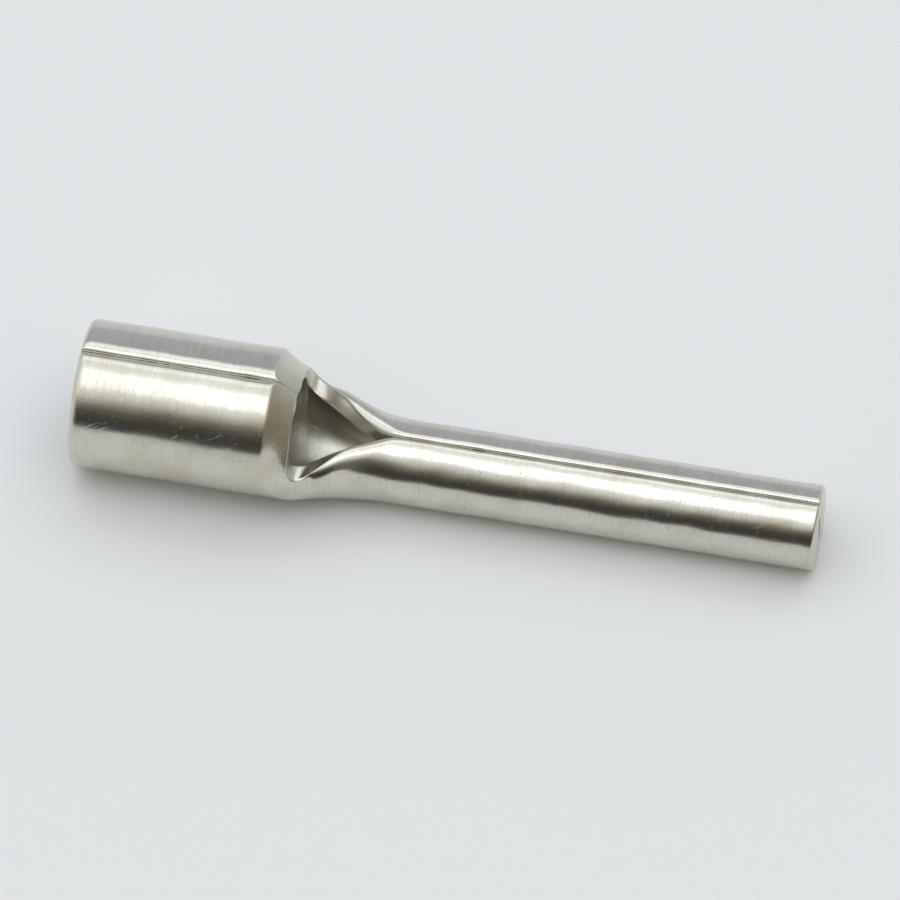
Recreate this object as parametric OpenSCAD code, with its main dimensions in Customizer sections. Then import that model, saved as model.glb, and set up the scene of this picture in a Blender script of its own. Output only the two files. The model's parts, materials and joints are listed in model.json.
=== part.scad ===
// Uninsulated pin terminal, stamped from tinned copper strip and rolled up in one piece.
// The wide end of a T-shaped blank is rolled into the wire barrel and the narrow end into the round pin.
// Between them the narrow strip stays open as a trough, and closes where the pin starts.
//
// The part lies on the narrow flat along its straight back, with both seams up. X runs from the wire mouth
// to the pin's tip, Y runs across and Z is up. The origin is on the flat, at the middle of the length.

/* [Strip] */
// Thickness of the strip
strip_t = 0.6; // [0.55:0.01:0.75]
// Width of the narrow strip that makes the trough
strip_w = 4.3; // [3.6:0.05:5]
// Gap left where two edges of the strip meet
seam_gap = 0.05; // [0.03:0.01:0.1]
// Radius on the edges of the inside skin, beside the barrel and at the pin
burr_r = 0.05; // [0.03:0.01:0.08]
// Depth of the flat that pressing leaves along the back, where the strip lies in the tool
back_flat = 0.07; // [0.06:0.01:0.1]

/* [Barrel] */
// Outside diameter of the wire barrel
barrel_d = 3.4; // [3:0.05:4.2]
// Length of the wire barrel
barrel_len = 5; // [3:0.05:7]
// Length of the bevel that ends the barrel beside the trough
end_bevel_w = 0.6; // [0.3:0.05:0.8]
// Depth of that bevel at the barrel's end
end_bevel_d = 0.42; // [0.2:0.01:0.45]
// Width of the rolled lip on each side of the barrel's seam
barrel_lip_w = 0.25; // [0.15:0.01:0.35]
// Depth of that lip at the seam
barrel_lip_d = 0.12; // [0.06:0.01:0.2]
// Radius round the outside of the wire mouth
mouth_r = 0.15; // [0.05:0.01:0.2]
// Depth of the lead-in round the inside of the wire mouth
mouth_lead = 0.12; // [0.05:0.01:0.2]

/* [Neck] */
// Length of the open trough, from the barrel to where the pin is round
neck_len = 2.5; // [2:0.1:4]
// How soon the trough narrows: below 1 it does so nearer the barrel
neck_lead = 0.48; // [0.4:0.02:0.8]
// How softly it starts to narrow beside the barrel, as a share of the trough's length
neck_soft = 0.08; // [0.04:0.01:0.15]
// Radius of the inside corner between the barrel's end and the trough's edge
notch_r = 0.55; // [0.2:0.05:0.7]
// Depth that the notch is cut into each side of the narrow strip, beside the barrel
notch_d = 0.2; // [0.1:0.02:0.3]
// Width of the round along the trough's edges, on the outside skin
roll_w = 0.5; // [0.2:0.02:0.6]
// Depth of that round at the edge
roll_d = 0.28; // [0.15:0.01:0.3]
// Radius along the trough's edges, on the inside skin
inner_roll = 0.08; // [0.05:0.01:0.2]

/* [Pin] */
// Diameter of the pin
pin_d = 1.95; // [1.8:0.05:2.4]
// Length of the round pin
pin_len = 9.5; // [6:0.05:14]
// Width of the lip on each side of the pin's seam
pin_lip_w = 0.12; // [0.06:0.01:0.2]
// Depth of that lip at the seam
pin_lip_d = 0.09; // [0.05:0.01:0.15]
// Radius round the pin's tip
tip_r = 0.08; // [0.05:0.01:0.2]
// Width of the slot left along the middle of the pin
core_w = 0.14; // [0.1:0.01:0.2]
// Height of that slot
core_h = 0.88; // [0.6:0.02:1.1]
// Length of the funnel where the trough closes down to that slot
funnel_len = 0.9; // [0.5:0.1:2]

/* [Hidden] */
$fn = 96;

// Sizes and places along X that follow from the dimensions above
barrel_r = barrel_d / 2;
bore_r = barrel_r - strip_t;
pin_r = pin_d / 2;
total_len = barrel_len + neck_len + pin_len;
mouth_x = -total_len / 2;
shoulder_x = mouth_x + barrel_len;
root_x = shoulder_x + neck_len;

// The trough's skin sits this far inside the skins of the barrel and the pin, and reaches this far into
// them, so that the three join as one piece of metal
skin_inset = 0.005;
reach_in = end_bevel_w + 0.1;

// Share of the neck's length at which the trough's edges start to turn into the lips of the pin's seam
lip_start = 0.6;

// Share of the neck's length over which the strip widens again after the notch
notch_run = 0.5;

// Steps that the curves of the trough and its shaped edges are drawn with
neck_steps = 20;
notch_steps = 6;
arc_steps = 22;
edge_steps = 5;

// How far a cut runs past the skin that it opens
overcut = 0.3;

// An angle in degrees from an arc length and its radius
function turn(arc, r) = arc / r * 180 / PI;

// Rises from 0 to 1 with a level start and finish
function ease(u) = u * u * (3 - 2 * u);

// How far along the neck a place is, from 0 at the barrel to 1 at the pin
function along(x) = min(1, max(0, (x - shoulder_x) / neck_len));

// A share of the neck's length with a soft start, so that the neck leaves the barrel without a crease
function softly(u) = sqrt(pow(u, 2) + pow(neck_soft, 2)) - neck_soft;

// A size that changes along the neck from its value at the barrel to its value at the pin
function neck_blend(x, at_barrel, at_pin) =
    at_barrel + (at_pin - at_barrel) * ease(pow(softly(along(x)) / softly(1), neck_lead));

// How far past the notch's corner a place is, from 0 at the barrel's end to 1 on the trough's edge
function past_notch(x) = ease(min(1, max(0, (x - shoulder_x) / (2 * notch_r))));

// How far the trough's edge has turned into the lip of the pin's seam, from 0 to 1
function into_lip(x) = ease(min(1, max(0, (along(x) - lip_start) / (1 - lip_start))));

// A size of the strip's edge, from the barrel's end through the notch's corner and on along the neck
function edge_blend(x, at_end, at_trough, at_pin) =
    let (past = past_notch(x), lip = into_lip(x))
    at_end * (1 - past) + (at_trough * (1 - lip) + at_pin * lip) * past;

// Outside radius of the trough. Its lowest line stays straight, so this is also its centre's height.
function trough_r(x) = neck_blend(x, barrel_r, pin_r);

// Half the width of the flat strip, with the notch and its round corner beside the barrel
function half_width(x) =
    let (into = min(notch_r, max(0, x - shoulder_x)))
    let (cut = notch_d * (1 - ease(min(1, along(x) / notch_run))))
    strip_w / 2 - cut + notch_r - sqrt(pow(notch_r, 2) - pow(notch_r - into, 2));

// Angle from the back to the strip's edge, once the strip is rolled. It stops where the edges meet.
function edge_angle(x) =
    let (middle_r = trough_r(x) - strip_t / 2)
    min(180 - turn(seam_gap / 2, middle_r), turn(half_width(x), middle_r));

// One point of the trough's section, from a radius and an angle from the back
function section_point(x, r, angle) = [x, r * sin(angle), trough_r(x) - r * cos(angle)];

// Points round an edge of the strip, as the distance back from the edge and the depth below the skin.
// The round share is 1 for a round edge and 0 for a bevelled one.
function shaped_edge(width, depth, round_share = 1) = [for (i = [0:edge_steps])
    let (a = 90 * i / edge_steps)
    [width * (1 - sin(a)), depth * (round_share * (1 - cos(a)) + (1 - round_share) * sin(a))]];

// One skin of the trough's section from edge to edge, with its edges shaped.
// The side is 1 for the inside skin and -1 for the outside one.
function skin(x, r, width, depth, round_share, side) =
    let (edge = edge_angle(x), level_end = edge - turn(width, r))
    let (corner = [for (p = shaped_edge(width, depth, round_share))
        let (corner_r = r + side * p[1])
        [corner_r, edge - turn(p[0], corner_r)]])
    concat(
        [for (i = [edge_steps:-1:1]) section_point(x, corner[i][0], -corner[i][1])],
        [for (i = [0:arc_steps]) section_point(x, r, level_end * (2 * i / arc_steps - 1))],
        [for (i = [1:edge_steps]) section_point(x, corner[i][0], corner[i][1])]
    );

// Closed section of the trough: its outside from one edge to the other, then its inside back again
function trough_section(x) =
    let (width = edge_blend(x, end_bevel_w, roll_w, pin_lip_w))
    let (depth = edge_blend(x, end_bevel_d, roll_d, pin_lip_d))
    let (outside = skin(x, trough_r(x) - skin_inset, width, depth, past_notch(x), -1))
    let (inner = edge_blend(x, burr_r, inner_roll, burr_r))
    let (inside = skin(x, trough_r(x) - strip_t + skin_inset, inner, inner, 1, 1))
    concat(outside, [for (i = [len(inside) - 1:-1:0]) inside[i]]);

// A solid through a row of closed sections. Each section folds back on itself, so its ends are capped
// with a row of four-sided faces between its two halves.
module loft(sections) {
    count = len(sections[0]);
    last = (len(sections) - 1) * count;
    sides = [for (s = [0:len(sections) - 2], i = [0:count - 1])
        let (j = (i + 1) % count)
        [s * count + i, s * count + j, (s + 1) * count + j, (s + 1) * count + i]];
    start = [for (i = [0:count / 2 - 2]) [i, count - 1 - i, count - 2 - i, i + 1]];
    finish = [for (i = [0:count / 2 - 2])
        [last + i, last + i + 1, last + count - 2 - i, last + count - 1 - i]];
    triangles = [for (f = concat(sides, start, finish), half = [[2, 1, 0], [3, 2, 0]])
        [for (i = half) f[i]]];
    polyhedron(points = [for (s = sections) each s], faces = triangles, convexity = 6);
}

// Turns a solid built along Z so that it runs along X from the given place, at the given height
module along_x(x, z) {
    translate([x, 0, z]) rotate([90, 0, 90]) children();
}

// The cut that a seam makes in a rolled section of radius r: a narrow gap with a rounded lip on each side
module seam(r, lip_w, lip_d, length) {
    lip = [for (p = shaped_edge(lip_w, lip_d))
        let (across = seam_gap / 2 + p[0])
        [across, sqrt(pow(r - p[1], 2) - pow(across, 2))]];
    // The lip's first stretch is carried on past the skin
    above = lip[0] + (lip[0] - lip[1]);
    half = concat([[0, 0], [seam_gap / 2, 0]], [for (i = [edge_steps:-1:0]) lip[i]],
        [above, [above[0], r + overcut], [0, r + overcut]]);
    linear_extrude(length) {
        polygon(half);
        mirror([1, 0]) polygon(half);
    }
}

// Wire barrel: a round tube with a seam along its top, a rounded mouth and a bevelled inner end
module barrel() {
    bore = [[bore_r, barrel_len], [bore_r, mouth_lead], [bore_r + mouth_lead, 0]];
    mouth_edge = shaped_edge(mouth_r, mouth_r);
    mouth = [for (i = [edge_steps:-1:0]) [barrel_r - mouth_edge[i][1], mouth_edge[i][0]]];
    inner_end = [[barrel_r, barrel_len - end_bevel_w], [barrel_r - end_bevel_d, barrel_len]];
    along_x(mouth_x, barrel_r) difference() {
        rotate_extrude() polygon(concat(bore, mouth, inner_end));
        translate([0, 0, -overcut]) seam(barrel_r, barrel_lip_w, barrel_lip_d, barrel_len + 2 * overcut);
    }
}

// Open trough that runs from the barrel's lower half and closes into the pin
module neck() {
    notch = [for (i = [0:notch_steps]) shoulder_x + notch_r * (1 - cos(90 * i / notch_steps))];
    notch_end = shoulder_x + notch_r;
    rest = [for (i = [1:neck_steps]) notch_end + (root_x - notch_end) * i / neck_steps];
    stations = concat([shoulder_x - reach_in], notch, rest, [root_x + reach_in]);
    loft([for (x = stations) trough_section(x)]);
}

// Round pin, still solid: the trough joins its root
module pin() {
    tip = [for (p = shaped_edge(tip_r, tip_r)) [pin_r - p[1], pin_len - p[0]]];
    along_x(root_x, pin_r) rotate_extrude() polygon(concat([[0, 0], [pin_r, 0]], tip, [[0, pin_len]]));
}

// What the rolled strip leaves open in the pin: its seam, the slot along its middle and the slot's funnel
module pin_hollow() {
    slot_side = core_h - core_w;
    along_x(root_x, pin_r) {
        seam(pin_r, pin_lip_w, pin_lip_d, pin_len + overcut);
        linear_extrude(pin_len + overcut) {
            square([core_w, slot_side], center = true);
            for (side = [-1, 1]) translate([0, side * slot_side / 2]) circle(d = core_w);
        }
        cylinder(r1 = pin_r - strip_t, r2 = core_w / 2, h = funnel_len);
    }
}

// What the flat takes off the back
module back_slice() {
    translate([mouth_x - overcut, -barrel_r, back_flat - barrel_r])
        cube([total_len + 2 * overcut, barrel_d, barrel_r]);
}

module pin_terminal() {
    color("silver") translate([0, 0, -back_flat]) difference() {
        union() {
            barrel();
            neck();
            pin();
        }
        pin_hollow();
        back_slice();
    }
}

pin_terminal();
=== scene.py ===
"""The look of an uninsulated pin terminal, rolled up in one piece from tinned copper strip.

The terminal is made here as it is made in the press: a flat T-shaped blank with sheared edges is rolled
up, its wide end into the wire barrel and its narrow end into the pin. A place on the blank is given by x,
along the terminal, and w, across the strip from the line of its back. Both are in millimetres.
"""

import json
import math

import bpy
import numpy as np
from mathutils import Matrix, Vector


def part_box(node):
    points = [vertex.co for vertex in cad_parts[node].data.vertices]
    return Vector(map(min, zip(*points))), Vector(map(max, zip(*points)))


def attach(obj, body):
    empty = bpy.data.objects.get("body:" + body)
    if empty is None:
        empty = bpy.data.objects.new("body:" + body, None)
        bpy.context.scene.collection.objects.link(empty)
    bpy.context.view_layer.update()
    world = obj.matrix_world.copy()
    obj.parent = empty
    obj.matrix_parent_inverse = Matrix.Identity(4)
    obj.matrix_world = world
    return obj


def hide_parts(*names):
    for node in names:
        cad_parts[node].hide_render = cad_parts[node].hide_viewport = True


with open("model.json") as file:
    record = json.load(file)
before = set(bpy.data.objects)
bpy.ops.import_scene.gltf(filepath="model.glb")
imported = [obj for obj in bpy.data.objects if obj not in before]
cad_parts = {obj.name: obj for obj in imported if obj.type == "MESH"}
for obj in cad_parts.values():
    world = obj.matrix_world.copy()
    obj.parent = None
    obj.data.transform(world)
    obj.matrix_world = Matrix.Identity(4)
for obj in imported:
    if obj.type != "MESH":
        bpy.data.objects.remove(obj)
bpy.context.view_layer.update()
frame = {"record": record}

MM = 0.001

# Sizes of the terminal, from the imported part
low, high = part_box("pin_terminal")
mounts = {mount["name"]: mount for mount in frame["record"]["mounts"]}
wire_barrel, pin = mounts["wire_barrel"], mounts["pin"]
barrel_r = (high[1] - low[1]) / 2 / MM
bore_r = wire_barrel["dims"]["r_mm"]
strip_t = barrel_r - bore_r
barrel_middle_r = barrel_r - strip_t / 2
pin_r = pin["dims"]["r_mm"]
mouth_x = low[0] / MM
tip_x = high[0] / MM
bore_x = wire_barrel["pos_m"][0] / MM
pin_end_x = pin["pos_m"][0] / MM
mouth_lead = bore_x - mouth_x
tip_r = tip_x - pin_end_x
shoulder_x = bore_x + wire_barrel["dims"]["length_mm"]
root_x = pin_end_x - pin["dims"]["length_mm"]
back_flat = barrel_r - wire_barrel["pos_m"][2] / MM

# Sizes of the blank and its edges, as the part's source has them
strip_half_w = 2.15
notch_r, notch_d, notch_run = 0.55, 0.2, 0.5
notch_line_w = strip_half_w - notch_d + notch_r
neck_lead, neck_soft = 0.48, 0.08
roll_w, roll_d, inner_roll = 0.5, 0.28, 0.08
lip_start = 0.6
end_bevel_w, end_bevel_d = 0.6, 0.42
barrel_lip_w, barrel_lip_d = 0.25, 0.12
pin_lip_w, pin_lip_d = 0.12, 0.09
mouth_r = 0.15
burr_r = 0.05
core_half_w, core_half_h = 0.07, 0.44
funnel_len = 0.9

# How far before the pin the trough starts to close down to the slot
funnel_lead = 0.1

# How soft the ridge of the barrel's bevelled end is, as a share of the bevel's length
ridge_softness = 0.1

# How much squarer the edge is left in the notch's corner, and how far along the edge that reaches
corner_squareness, corner_reach = 0.65, 0.7

# How sharply two roundings meet where both reach the same place
rounding_power = 4

# Seams: the gap where the edges nearly touch, how much wider it is where they part, the lengths over
# which it changes, and how high its waves have to rise before it opens
barrel_gap, barrel_gap_opening = 0.012, 0.02
pin_gap, pin_gap_opening = 0.012, 0.012
seam_wave_len, seam_ripple_len = 1.5, 0.35
seam_closed = 0.7

# Waviness of the skins: its height, its lengths, and the radii that turn angles into lengths for it
skin_wave = 0.004
skin_wave_len, skin_ripple_len = 1.6, 0.6
skin_wave_r, skin_ripple_r = 1.4, 1.2

# How far the ends of the barrel's flaps wander, over which length, and how far in that reaches
end_wave, end_wave_len, end_wave_reach = 0.012, 0.7, 0.15

# Sheared edges: the share that is cut smooth, and the shares over which the break sets in and runs out
smooth_share, break_start, break_stop = 0.25, 0.2, 0.12

# The break: how deep and how rough it is, the length of its waves, the length that the way across the
# edge counts for in them, and how much of it there is at the pin's tip
break_depth, break_rough = 0.02, 0.012
break_wave_len, break_wave_across = 0.22, 0.9
tip_break = 0.3

# How bare of tin the sides of the narrow strip and the rims of all edges are, where a broken edge has 1
bare_sides, bare_rims = 0.25, 0.4

# Farther from an edge than any rounding reaches
FAR_AWAY = 9.0

# One seed for each thing that wanders, and the next number for its ripple
PIN_SEAM_SEED, BARREL_SEAM_SEED, SKIN_SEED, END_SEED, BREAK_SEED = 21, 31, 41, 51, 61

# How many waves are added up where something wanders, the range of their lengths, and how high a ripple
# is beside its wave
WAVES = 9
WAVE_RANGE = (0.6, 1.7)
RIPPLE_SHARE = 0.5

# Steps between rows of places along the blank, at its edges and between them
MOUTH_STEP, BARREL_STEP, RIDGE_STEP, BEVEL_STEP, END_STEP = 0.01, 0.07, 0.015, 0.03, 0.012
NOTCH_ROWS = 16
NOTCH_STEP, NECK_STEP, PIN_STEP, TIP_STEP = 0.035, 0.045, 0.09, 0.006

# Steps between columns, as shares of half the narrow strip and of a flap of the barrel
STRIP_STEP, STRIP_EDGE_STEP = 0.028, 0.004
FLAP_START_STEP, FLAP_STEP, FLAP_EDGE_STEP = 0.03, 0.04, 0.006

# How much wider a step may be than the one before it, as a share, along the blank and across it
ROW_GROWTH, COLUMN_GROWTH = 0.3, 0.2

# How many places the steps are counted at
FINE_PLACES = 4001

# Rows of faces across a sheared edge, and how far across it the rows of points between them are
EDGE_ROWS = 7
EDGE_LEVELS = np.arange(1, EDGE_ROWS) / EDGE_ROWS


def ease(u):
    """Rises from 0 to 1 with a level start and finish."""
    u = np.clip(u, 0, 1)
    return u * u * (3 - 2 * u)


def softly(u, softness):
    """Rises from 0 to 1 with a soft start and then straight."""
    return (np.hypot(u, softness) - softness) / (math.hypot(1, softness) - softness)


def along_neck(x):
    """How far along the neck a place is, from 0 at the barrel to 1 at the pin."""
    return np.clip((x - shoulder_x) / (root_x - shoulder_x), 0, 1)


def past_notch(x):
    """How far past the notch's corner a place is, from 0 at the barrel's end to 1 on the trough's edge."""
    return ease((x - shoulder_x) / (2 * notch_r))


def edge_blend(x, at_end, at_trough, at_pin):
    """A size of the strip's edge, from the barrel's end past the notch's corner and on along the neck."""
    past = past_notch(x)
    lip = ease((along_neck(x) - lip_start) / (1 - lip_start))
    return at_end * (1 - past) + (at_trough * (1 - lip) + at_pin * lip) * past


def outside_r(x):
    """Outside radius of the rolled section. It narrows softly at first, soon after the barrel."""
    return barrel_r + (pin_r - barrel_r) * ease(softly(along_neck(x), neck_soft) ** neck_lead)


def wander(seed, wave_len, *places):
    """A value that wanders smoothly about 0, mostly within 1, over waves of about the given length."""
    draw = np.random.default_rng(seed)
    total = 0.0
    for _ in range(WAVES):
        heading = draw.normal(size=len(places))
        heading = heading / np.linalg.norm(heading)
        turns = sum(h * p for h, p in zip(heading, places)) / (wave_len * draw.uniform(*WAVE_RANGE))
        total = total + np.sin(2 * math.pi * (turns + draw.uniform()))
    return total / math.sqrt(WAVES)


def spread(start, stop, step_at_start, step_at_stop, widest, growth):
    """Places from start to stop, close together at the ends and wider apart between."""
    fine = np.linspace(start, stop, FINE_PLACES)
    step = np.minimum(step_at_start + growth * (fine - start), step_at_stop + growth * (stop - fine))
    count = np.concatenate([[0], np.cumsum(np.diff(fine) / np.minimum(step, widest)[1:])])
    steps = math.ceil(count[-1])
    return np.interp(np.arange(steps + 1) / steps * count[-1], count, fine)


def both_sides(half):
    """Values across the blank, from those on one side of its back line. The other side's are negative."""
    return np.concatenate([-half[:0:-1], half])


def widening(x):
    """How much the narrow strip has widened again after the notch, on each side."""
    return notch_d * ease(along_neck(x) / notch_run)


def strip_width(x):
    """Half the width of the narrow strip, with the notch's round corner beside the barrel."""
    into = np.clip(x - shoulder_x, 0, notch_r)
    return notch_line_w + widening(x) - np.sqrt(notch_r ** 2 - (notch_r - into) ** 2)


def seam_half_gap(x, gap, opening, seed):
    """Half of the gap between two edges that meet. They nearly touch, and part in a few short places."""
    wave = wander(seed, seam_wave_len, x)
    ripple = wander(seed + 1, seam_ripple_len, x)
    parted = np.clip(wave + RIPPLE_SHARE * ripple - seam_closed, 0, 1)
    return (gap + opening * parted) / 2


def strip_edge_angle(x):
    """Angle from the back to the narrow strip's edge, once it is rolled. It stops where the edges meet."""
    middle_r = outside_r(x) - strip_t / 2
    meeting = math.pi - seam_half_gap(x, pin_gap, pin_gap_opening, PIN_SEAM_SEED) / middle_r
    return np.minimum(meeting, strip_width(x) / middle_r)


def barrel_edge_angle(x):
    """Angle from the back to the edge of the barrel's flap at its seam."""
    half_gap = seam_half_gap(x, barrel_gap, barrel_gap_opening, BARREL_SEAM_SEED)
    return math.pi - half_gap / barrel_middle_r


def slot_side(share):
    """A place round the slot inside the pin: across and up from its middle, by the share of the strip."""
    quarter = core_half_w * math.pi / 2
    straight = 2 * (core_half_h - core_half_w)
    run = np.abs(share) * (2 * quarter + straight)
    low_turn = np.clip(run, 0, quarter) / core_half_w
    high_turn = np.clip(run - quarter - straight, 0, quarter) / core_half_w
    across = core_half_w * np.sin(low_turn) - core_half_w * (1 - np.cos(high_turn))
    up = (-core_half_w * np.cos(low_turn) - straight / 2 + np.clip(run - quarter, 0, straight)
          + core_half_w * np.sin(high_turn))
    return np.sign(share) * np.maximum(across, pin_gap / 4), up


def skin_waviness(x, angle):
    """How far the skins stand out or in at a place, from a long wave and a shorter ripple."""
    wave = wander(SKIN_SEED, skin_wave_len, x, skin_wave_r * angle)
    ripple = wander(SKIN_SEED + 1, skin_ripple_len, x, skin_ripple_r * angle)
    return skin_wave * (wave + RIPPLE_SHARE * ripple)


def roll_up(x, share, angle, depth):
    """Rolls places of the blank up. Depth runs from 0 on the outside skin to 1 on the inside skin, and share
    is how far the place is from the back line to the edge of the narrow strip."""
    r = outside_r(x)
    outer = r + skin_waviness(x, angle)
    inner = outer - strip_t
    outer_y, outer_z = outer * np.sin(angle), -outer * np.cos(angle)
    inner_y, inner_z = inner * np.sin(angle), -inner * np.cos(angle)
    slot_y, slot_z = slot_side(share)
    closed = ease((x - root_x + funnel_lead) / (funnel_len + funnel_lead))
    inner_y = inner_y + (slot_y - inner_y) * closed
    inner_z = inner_z + (slot_z - inner_z) * closed
    y = outer_y + (inner_y - outer_y) * depth
    z = outer_z + (inner_z - outer_z) * depth + r - back_flat
    return np.stack([x, y, np.maximum(z, 0)], axis=-1)


def rolled_over(distance, width, depth):
    """How far the skin drops towards a rounded edge, by the distance from that edge."""
    back = np.clip(1 - distance / width, 0, 1)
    return depth * (1 - np.sqrt(1 - back ** 2))


def bevelled(distance, width, depth):
    """How far the skin drops towards a bevelled edge, with a soft ridge where the bevel starts."""
    back = np.clip(1 - distance / width, 0, 1)
    return depth * softly(back, ridge_softness)


def strip_edge_distance(x, w):
    """Distance on the blank from the notch, the barrel's inner end and the narrow strip's edge."""
    from_end = np.maximum(shoulder_x + notch_r - x, 0)
    from_side = np.maximum(notch_line_w + widening(x) - np.abs(w), 0)
    return np.hypot(from_end, from_side) - notch_r


def in_corner(x, w):
    """How near a place is to the middle of the notch's round corner, from 0 to 1."""
    middle = notch_r * math.sqrt(0.5)
    corner_x, corner_w = shoulder_x + notch_r - middle, notch_line_w - middle
    return np.exp(-((x - corner_x) ** 2 + (np.abs(w) - corner_w) ** 2) / corner_reach ** 2)


def skin_depths(x, w, strip_distance, seam_distance):
    """Depths of both skins, from 0 outside to 1 inside, by how near a place is to the edges of the blank."""
    rounding = 1 - corner_squareness * in_corner(x, w)
    lip_w = edge_blend(x, end_bevel_w, roll_w, pin_lip_w)
    lip_d = edge_blend(x, end_bevel_d, roll_d, pin_lip_d) * rounding
    inner_r = edge_blend(x, burr_r, inner_roll, burr_r) * rounding
    past = past_notch(x)
    bevel = bevelled(strip_distance, lip_w, lip_d)
    lip = rolled_over(strip_distance, lip_w, lip_d)
    outer_drops = [
        bevel * (1 - past) + lip * past,
        rolled_over(seam_distance, barrel_lip_w, barrel_lip_d),
        rolled_over(x - mouth_x, mouth_r, mouth_r),
        rolled_over(tip_x - x, tip_r, tip_r),
    ]
    inner_drops = [
        rolled_over(strip_distance, inner_r, inner_r),
        rolled_over(seam_distance, burr_r, burr_r),
        np.clip(mouth_lead - (x - mouth_x), 0, mouth_lead),
    ]
    outer = sum(drop ** rounding_power for drop in outer_drops) ** (1 / rounding_power)
    inner = np.maximum.reduce(inner_drops)
    return outer / strip_t, 1 - inner / strip_t


def blank_rows():
    """Where the rows of places lie along the blank: those of the barrel, and those of the narrow strip."""
    ridge_x = shoulder_x - end_bevel_w
    neck_end_x = root_x + funnel_len
    barrel_rows = spread(mouth_x, ridge_x, MOUTH_STEP, RIDGE_STEP, BARREL_STEP, ROW_GROWTH)
    bevel_rows = spread(ridge_x, shoulder_x, RIDGE_STEP, END_STEP, BEVEL_STEP, ROW_GROWTH)[1:]
    notch_turn = np.linspace(0, math.pi / 2, NOTCH_ROWS + 1)[1:]
    notch_rows = shoulder_x + notch_r * (1 - np.cos(notch_turn))
    neck_rows = spread(notch_rows[-1], neck_end_x, NOTCH_STEP, NECK_STEP, NECK_STEP, ROW_GROWTH)[1:]
    pin_rows = spread(neck_end_x, tip_x, NECK_STEP, TIP_STEP, PIN_STEP, ROW_GROWTH)[1:]
    return np.concatenate([barrel_rows, bevel_rows]), np.concatenate([notch_rows, neck_rows, pin_rows])


def blank_columns():
    """The columns of places across the blank, as two shares: of the way from the back line to the narrow
    strip's edge, and of the way on from there across a flap of the barrel."""
    strip = spread(0, 1, STRIP_STEP, STRIP_EDGE_STEP, STRIP_STEP, COLUMN_GROWTH)
    flap = spread(0, 1, FLAP_START_STEP, FLAP_EDGE_STEP, FLAP_STEP, COLUMN_GROWTH)[1:]
    share = np.concatenate([strip, np.ones(len(flap))])
    on_flap = np.concatenate([np.zeros(len(strip)), flap])
    return both_sides(share), both_sides(on_flap)


def blank_outline(top, end, left, right, last):
    """The blank's outline, once round, as the rows and the columns of its places. The barrel's rows stop at
    top and the narrow strip's at end. The strip's columns run from left to right, and the barrel's from
    the first one to the last."""
    corners = [(0, 0), (0, last), (top, last), (top, right),
               (end, right), (end, left), (top, left), (top, 0)]
    outline = []
    for (row, column), (next_row, next_column) in zip(corners, corners[1:] + corners[:1]):
        steps = abs(next_row - row) + abs(next_column - column)
        down, across = (next_row - row) // steps, (next_column - column) // steps
        outline += [(row + down * k, column + across * k) for k in range(steps)]
    return tuple(np.transpose(outline))


def edge_outward(x, w):
    """The direction out of the sheared edge at each place of the outline, on the rolled terminal."""
    step_x = np.roll(x, -1) - np.roll(x, 1)
    step_w = np.roll(w, -1) - np.roll(w, 1)
    length = np.hypot(step_x, step_w)
    out_x, out_w = -step_w / length, step_x / length
    angle = np.where(x <= shoulder_x, w / barrel_middle_r, np.sign(w) * strip_edge_angle(x))
    return np.stack([out_x, out_w * np.cos(angle), out_w * np.sin(angle)], axis=-1)


def sheared_edge(x, w, outer, inner, broken):
    """Rows of points across the sheared edge, between its rims on the outside and the inside skin. It is
    cut smooth under the outside skin and then broken off roughly, as far as it is broken at all."""
    outward = edge_outward(x, w)
    run = np.concatenate([[0], np.cumsum(np.hypot(np.diff(x), np.diff(w)))])
    rows = []
    for down in EDGE_LEVELS:
        rough = ease((down - smooth_share) / break_start) * ease((1 - down) / break_stop)
        uneven = wander(BREAK_SEED, break_wave_len, run, break_wave_across * down)
        inset = rough * broken * (break_depth + break_rough * uneven)
        rows.append(outer + (inner - outer) * down - outward * inset[:, None])
    return rows


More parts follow.
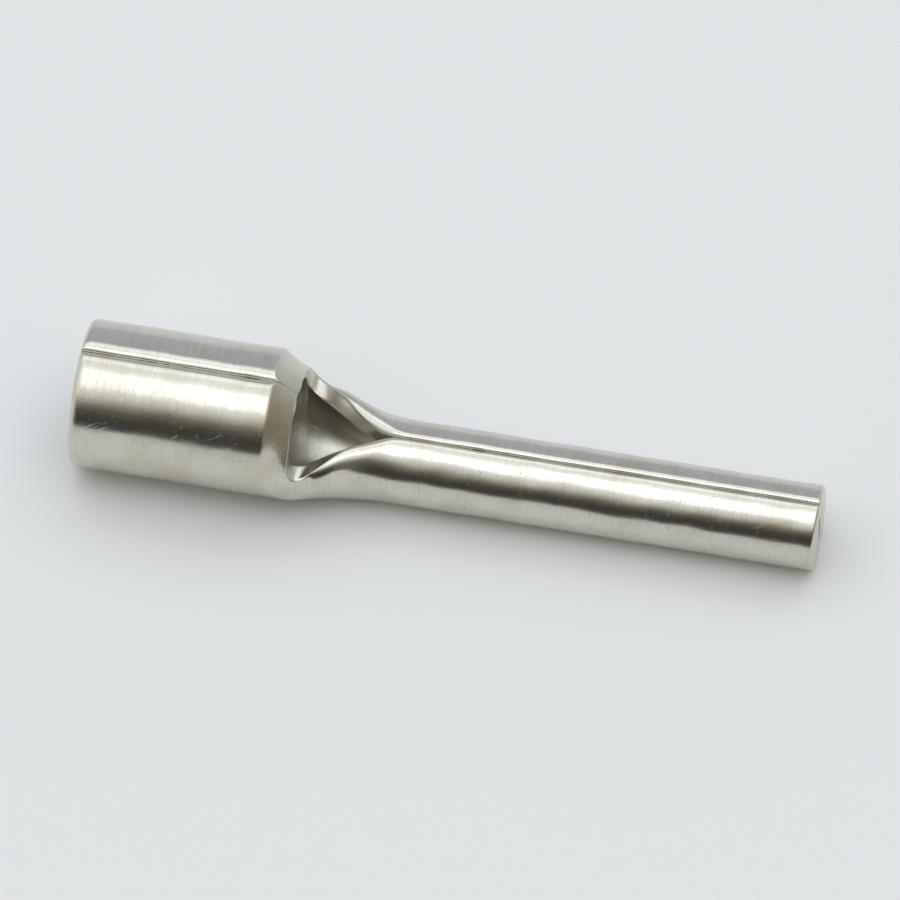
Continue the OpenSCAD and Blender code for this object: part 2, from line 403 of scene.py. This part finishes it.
def rolled_terminal():
    """The whole terminal as one closed mesh: two skins, and the sheared edges that join them. Gives its
    points, its faces and the levels that its finish reads."""
    barrel_rows, strip_rows = blank_rows()
    share, on_flap = blank_columns()
    rows = np.concatenate([barrel_rows, strip_rows])
    top, end = len(barrel_rows) - 1, len(rows) - 1
    left, right = np.flatnonzero(on_flap == 0)[[0, -1]]
    on_barrel = np.arange(len(rows))[:, None] <= top
    present = on_barrel | (on_flap == 0)

    # Places on the blank, and the angles that they are rolled to
    x = np.repeat(rows[:, None], len(share), axis=1)
    strip_angle, seam_angle = strip_edge_angle(x), barrel_edge_angle(x)
    angle = share * strip_angle + on_flap * (seam_angle - strip_angle)
    w = share * strip_width(x) + on_flap * (barrel_middle_r * seam_angle - notch_line_w)

    # The sheared ends of the flaps wander a little along the barrel
    near_end = np.exp(-(shoulder_x - x) / end_wave_reach) * on_barrel
    x = x + end_wave * wander(END_SEED, end_wave_len, w) * near_end * np.sqrt(np.abs(on_flap))

    # Both skins
    rolled_scale = np.where(x > shoulder_x + notch_r, outside_r(x) * strip_angle / strip_width(x), 1.0)
    strip_distance = strip_edge_distance(x, w) * rolled_scale
    seam_distance = np.where(on_barrel, barrel_r * (seam_angle - np.abs(angle)), FAR_AWAY)
    depths = skin_depths(x, w, strip_distance, seam_distance)
    skins = np.concatenate([roll_up(x, share, angle, depth)[present] for depth in depths])
    count = int(present.sum())
    number = np.where(present, np.cumsum(present).reshape(present.shape) - 1, -1)
    corners = np.stack([number[:-1, :-1], number[:-1, 1:], number[1:, 1:], number[1:, :-1]], axis=-1)
    outer_faces = corners[(corners >= 0).all(axis=-1)]
    inner_faces = outer_faces[:, ::-1] + count

    # The sheared edge between them
    at = blank_outline(top, end, left, right, len(share) - 1)
    of_barrel, of_tip = at[0] <= top, at[0] == end
    outer_rim, inner_rim = number[at], number[at] + count
    broken = np.where(of_barrel, 1.0, np.where(of_tip, tip_break, 0.0))
    edge_points = sheared_edge(x[at], w[at], skins[outer_rim], skins[inner_rim], broken)
    edge_numbers = np.arange(len(EDGE_LEVELS) * len(outer_rim)).reshape(len(EDGE_LEVELS), -1)
    bands = [outer_rim, *(2 * count + edge_numbers), inner_rim]
    edge_faces = [np.stack([upper, lower, np.roll(lower, -1), np.roll(upper, -1)], axis=-1)
                  for upper, lower in zip(bands[:-1], bands[1:])]

    # What the finish needs to know about each place
    flat = np.stack([x, w, np.zeros_like(x)], axis=-1)
    bare = np.where(of_barrel | of_tip, 1.0, bare_sides)
    sheared = np.concatenate([np.zeros(2 * count), np.tile(bare, len(EDGE_LEVELS))])
    sheared[outer_rim] = bare_rims * bare
    sheared[inner_rim] = bare_rims * bare
    levels = {
        "blank": np.concatenate([flat[present]] * 2 + [flat[at]] * len(EDGE_LEVELS)),
        "inside": np.concatenate([np.zeros(count), np.ones(count), np.repeat(EDGE_LEVELS, len(outer_rim))]),
        "sheared": sheared,
    }
    points = np.concatenate([skins, *edge_points])
    faces = np.concatenate([outer_faces, inner_faces, *edge_faces])
    return points, faces, levels


def in_scene(name, data):
    """A new object in the scene, with the mesh, camera or lamp that it holds."""
    made = bpy.data.objects.new(name, data)
    bpy.context.scene.collection.objects.link(made)
    return made


def mesh_piece(name, points, faces, levels):
    """A piece from points in millimetres, with the levels that its finish reads kept on its points."""
    mesh = bpy.data.meshes.new(name)
    mesh.from_pydata((points * MM).tolist(), [], faces.tolist())
    for level, values in levels.items():
        kind, field = ("FLOAT_VECTOR", "vector") if values.ndim == 2 else ("FLOAT", "value")
        kept = mesh.attributes.new(level, kind, "POINT")
        kept.data.foreach_set(field, np.ascontiguousarray(values, dtype=np.float32).ravel())
    mesh.polygons.foreach_set("use_smooth", np.ones(len(mesh.polygons), dtype=bool))
    mesh.update()
    return in_scene(name, mesh)


class Level:
    """A value on a surface. Sums of levels and numbers add the Math nodes that work them out."""

    def __init__(self, finish, socket):
        self.finish, self.socket = finish, socket

    def worked(self, operation, first, second):
        """A Math node's result for two levels or numbers."""
        return self.finish.node("ShaderNodeMath", {"operation": operation}, {0: first, 1: second})

    def __add__(self, other):
        return self.worked("ADD", self, other)

    __radd__ = __add__

    def __sub__(self, other):
        return self.worked("SUBTRACT", self, other)

    def __rsub__(self, other):
        return self.worked("SUBTRACT", other, self)

    def __mul__(self, other):
        return self.worked("MULTIPLY", self, other)

    __rmul__ = __mul__


class Finish:
    """The nodes of one material or of the world, all made in one way."""

    def __init__(self, owner):
        owner.use_nodes = True
        self.tree = owner.node_tree
        self.tree.nodes.clear()

    def node(self, kind, settings, sockets, out=0):
        """A new node with its settings, and a value or a link for each socket. Gives one of its outputs."""
        made = self.tree.nodes.new(kind)
        for name, value in settings.items():
            if name == "stops":
                self.set_stops(made.color_ramp, value)
            else:
                setattr(made, name, value)
        for name, value in sockets.items():
            if isinstance(value, Level):
                self.tree.links.new(value.socket, made.inputs[name])
            else:
                made.inputs[name].default_value = value
        return Level(self, made.outputs[out]) if made.outputs else None

    def set_stops(self, ramp, stops):
        """Sets a ramp's stops from places and colours. A new ramp has two of them."""
        while len(ramp.elements) < len(stops):
            ramp.elements.new(1.0)
        for element, (place, colour) in zip(ramp.elements, stops):
            element.position = place
            element.color = (*colour, 1)

    def kept(self, name, out="Fac"):
        """A level that is kept on the piece's points."""
        return self.node("ShaderNodeAttribute", {"attribute_name": name}, {}, out)

    def stretched(self, place, along, across, turn=0):
        """Places on the blank, turned by an angle in degrees and then multiplied along and across it."""
        turned = self.node("ShaderNodeMapping", {},
                           {"Vector": place, "Rotation": (0, 0, math.radians(turn))})
        return self.node("ShaderNodeVectorMath", {"operation": "MULTIPLY"},
                         {0: turned, 1: (along, across, 1)})

    def cloud(self, place, scale, detail, roughness=0.5):
        """Soft noise about 0.5, with the given number of patches to a unit of length."""
        return self.node("ShaderNodeTexNoise", {},
                         {"Vector": place, "Scale": scale, "Detail": detail, "Roughness": roughness})

    def between(self, level, start, stop):
        """0 below start, 1 above stop, and a soft change between."""
        return self.node("ShaderNodeMapRange", {"interpolation_type": "SMOOTHSTEP"},
                         {"Value": level, "From Min": start, "From Max": stop})

    def towards(self, heading, direction):
        """How far a heading is towards a direction: 1 is straight there and -1 is straight away from it."""
        return self.node("ShaderNodeVectorMath", {"operation": "DOT_PRODUCT"},
                         {0: heading, 1: direction}, "Value")

    def mixed(self, amount, first, second, blend="MIX"):
        """The first colour with an amount of the second one mixed in, or blended in another way."""
        return self.node("ShaderNodeMix", {"data_type": "RGBA", "blend_type": blend},
                         {0: amount, 6: first, 7: second}, 2)

    def summed(self, first, second):
        """Two colours added up."""
        return self.mixed(1.0, first, second, "ADD")


# Colours of the plating, of what marks it, and of the broken edges
CLEAN_TIN = (0.685, 0.665, 0.59, 1)
STAINED_TIN = (0.63, 0.595, 0.495, 1)
GRAIN_LINES = (0.52, 0.475, 0.39, 1)
PIT_BOTTOMS = (0.26, 0.21, 0.16, 1)
BROKEN_TIN = (0.78, 0.765, 0.71, 1)
BARE_COPPER = (0.62, 0.53, 0.40, 1)

# Height of the finest relief, which is left to the material, in millimetres
RELIEF = 0.008


def tin_plate():
    """Tin over copper: satin, with the strip's rolled grain, soft stains, pits and a few scuffs. The sheared
    edges are broken metal, with tin and bare copper in patches."""
    material = bpy.data.materials.new("tin_plate")
    finish = Finish(material)
    blank = finish.kept("blank", "Vector")
    sheared = finish.kept("sheared")
    inside = finish.kept("inside")
    body = finish.node("ShaderNodeTexCoord", {}, {}, "Object")
    body = finish.node("ShaderNodeVectorMath", {"operation": "SCALE"}, {0: body, "Scale": 1 / MM})

    rolled = finish.stretched(blank, along=16, across=0.9)
    rubbed = finish.stretched(blank, along=0.8, across=22, turn=27)
    grain = finish.cloud(rolled, scale=1.0, detail=6, roughness=0.6)
    stains = finish.cloud(body, scale=1.1, detail=5, roughness=0.6)
    mottle = finish.cloud(body, scale=5.0, detail=4, roughness=0.6)
    pits = finish.between(finish.cloud(body, scale=16.0, detail=2), start=0.66, stop=0.74)
    scuffs = finish.between(finish.cloud(rubbed, scale=1.0, detail=3), start=0.69, stop=0.75)
    fracture = finish.cloud(body, scale=22.0, detail=4, roughness=0.65)

    tin = finish.mixed(finish.between(stains, start=0.42, stop=0.66), CLEAN_TIN, STAINED_TIN)
    tin = finish.mixed(finish.between(grain, start=0.45, stop=0.72) * 0.35, tin, GRAIN_LINES)
    tin = finish.mixed(pits * 0.4, tin, PIT_BOTTOMS)
    broken = finish.mixed(finish.between(fracture, start=0.48, stop=0.70), BROKEN_TIN, BARE_COPPER)
    colour = finish.mixed(sheared * 0.8, tin, broken)
    roughness = 0.10 + 0.10 * stains + 0.08 * grain + 0.12 * sheared + 0.10 * scuffs + 0.16 * inside

    height = 0.7 * grain + 0.6 * mottle - 0.5 * pits - 0.6 * scuffs + sheared * (1.1 * fracture)
    bump = finish.node("ShaderNodeBump", {}, {"Strength": 0.5, "Distance": RELIEF * MM, "Height": height})
    shader = finish.node("ShaderNodeBsdfPrincipled", {},
                         {"Base Color": colour, "Metallic": 1.0, "Roughness": roughness, "Normal": bump})
    finish.node("ShaderNodeOutputMaterial", {}, {"Surface": shader})
    return material


# The floor: half its width in metres, and the two colours that it is mottled with
FLOOR_HALF_W = 3.0
FLOOR_GREY = (0.83, 0.84, 0.845, 1)
FLOOR_WHITE = (0.85, 0.855, 0.858, 1)


def pale_floor():
    """Matt and nearly white, with faint clouds."""
    material = bpy.data.materials.new("pale_floor")
    finish = Finish(material)
    body = finish.node("ShaderNodeTexCoord", {}, {}, "Object")
    colour = finish.mixed(finish.cloud(body, scale=30.0, detail=2), FLOOR_GREY, FLOOR_WHITE)
    shader = finish.node("ShaderNodeBsdfPrincipled", {}, {"Base Color": colour, "Roughness": 0.6})
    finish.node("ShaderNodeOutputMaterial", {}, {"Surface": shader})
    return material


def lay_floor():
    """The floor that the terminal lies on."""
    half = FLOOR_HALF_W
    mesh = bpy.data.meshes.new("floor")
    corners = [(-half, -half, 0), (half, -half, 0), (half, half, 0), (-half, half, 0)]
    mesh.from_pydata(corners, [], [(0, 1, 2, 3)])
    mesh.materials.append(pale_floor())
    floor = in_scene("floor", mesh)


# Where the photograph looks from, how much of the picture's width the terminal takes up, and the nearest
# and farthest that the camera sees. Lengths are in metres here and for the lamps
VIEW_AZIMUTH = math.radians(11.1)
VIEW_ELEVATION = math.radians(55)
VIEW_DISTANCE = 0.29
PICTURE_SHARE = 0.82
NEAREST, FARTHEST = 0.01, 20

# The room's walls, from the front through the sides to the back
ROOM_WALLS = [
    (0.0, (0.045, 0.043, 0.042)),
    (0.05, (0.045, 0.043, 0.042)),
    (0.25, (0.09, 0.078, 0.066)),
    (0.5, (0.20, 0.195, 0.18)),
    (0.75, (0.39, 0.42, 0.47)),
    (1.0, (0.51, 0.55, 0.62)),
]

# The glow on the ceiling, from well away from the overhead lamp to straight above it, and how much
# farther it reaches to the sides
CEILING_GLOW = [
    (0.5, (0.0, 0.0, 0.0)),
    (0.67, (0.05, 0.041, 0.032)),
    (0.76, (0.15, 0.13, 0.105)),
    (0.84, (0.41, 0.40, 0.375)),
    (0.91, (0.74, 0.77, 0.79)),
    (0.97, (0.91, 0.96, 1.0)),
]
GLOW_WIDENING = 0.5

# The overhead lamp's elevation, in degrees
OVERHEAD = 80

# What the walls on the left and on the right add
LEFT_WALL = (0.60, 0.60, 0.59, 1)
RIGHT_WALL = (0.17, 0.16, 0.12, 1)
NO_LIGHT = (0, 0, 0, 1)


def looking_from(azimuth, elevation, distance):
    """A place round the object's middle, from angles and a distance."""
    return Vector((math.sin(azimuth) * math.cos(elevation), -math.cos(azimuth) * math.cos(elevation),
                   math.sin(elevation))) * distance


def place_camera(middle, length):
    """A camera that looks at the terminal's middle as the photograph does."""
    camera = bpy.data.cameras.new("camera")
    holder = in_scene("camera", camera)
    holder.location = middle + looking_from(VIEW_AZIMUTH, VIEW_ELEVATION, VIEW_DISTANCE)
    holder.rotation_euler = (middle - holder.location).to_track_quat("-Z", "Y").to_euler()
    camera.sensor_fit = "HORIZONTAL"
    camera.lens = camera.sensor_width * VIEW_DISTANCE * PICTURE_SHARE / (length * math.cos(VIEW_AZIMUTH))
    camera.clip_start, camera.clip_end = NEAREST, FARTHEST
    bpy.context.scene.camera = holder


def soft_box(name, azimuth, elevation, distance, width, height, brightness, colour):
    """A lamp with a rectangular face that looks at the object. Its face has the given brightness, and its
    azimuth is counted from the camera's."""
    lamp = bpy.data.lights.new(name, "AREA")
    lamp.shape = "RECTANGLE"
    lamp.size, lamp.size_y = width, height
    lamp.energy = brightness * math.pi * width * height
    lamp.color = colour
    holder = in_scene(name, lamp)
    holder.location = looking_from(VIEW_AZIMUTH + math.radians(azimuth), math.radians(elevation), distance)
    holder.rotation_euler = (-holder.location).to_track_quat("-Z", "Y").to_euler()


def light_studio():
    """A soft box overhead under a glowing ceiling, a wide one behind, and a dim room with a dark front."""
    soft_box("overhead_box", azimuth=0, elevation=OVERHEAD, distance=0.45, width=0.26, height=0.21,
             brightness=0.96, colour=(0.91, 0.95, 1.0))
    soft_box("back_box", azimuth=180, elevation=58, distance=0.6, width=0.8, height=0.28,
             brightness=0.8, colour=(0.92, 0.965, 1.0))
    world = bpy.data.worlds.new("room")
    bpy.context.scene.world = world
    finish = Finish(world)
    heading = finish.node("ShaderNodeTexCoord", {}, {}, "Generated")
    back = finish.towards(heading, looking_from(VIEW_AZIMUTH + math.pi, 0, 1))
    right = finish.towards(heading, looking_from(VIEW_AZIMUTH + math.pi / 2, 0, 1))
    over = finish.towards(heading, looking_from(VIEW_AZIMUTH, math.radians(OVERHEAD), 1))

    walls = finish.node("ShaderNodeValToRGB", {"stops": ROOM_WALLS}, {"Fac": 0.5 + 0.5 * back})
    widened = over * (1 + GLOW_WIDENING * right * right)
    glow = finish.node("ShaderNodeValToRGB", {"stops": CEILING_GLOW}, {"Fac": widened})
    glow = finish.mixed(finish.between(right, start=0.55, stop=0.85), glow, NO_LIGHT)
    left_wall = finish.mixed(finish.between(0 - right, start=0.4, stop=0.9), NO_LIGHT, LEFT_WALL)
    right_wall = finish.mixed(finish.between(right, start=0.1, stop=0.6), NO_LIGHT, RIGHT_WALL)
    light = finish.summed(finish.summed(walls, glow), finish.summed(left_wall, right_wall))
    room = finish.node("ShaderNodeBackground", {}, {"Color": light, "Strength": 1.0})
    finish.node("ShaderNodeOutputWorld", {}, {"Surface": room})


terminal = mesh_piece("terminal", *rolled_terminal())
terminal.data.materials.append(tin_plate())
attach(terminal, "root")
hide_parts("pin_terminal")

lay_floor()
light_studio()
place_camera(Vector((0, 0, (low[2] + high[2]) / 2)), high[0] - low[0])
bpy.context.scene.view_settings.view_transform = "Standard"
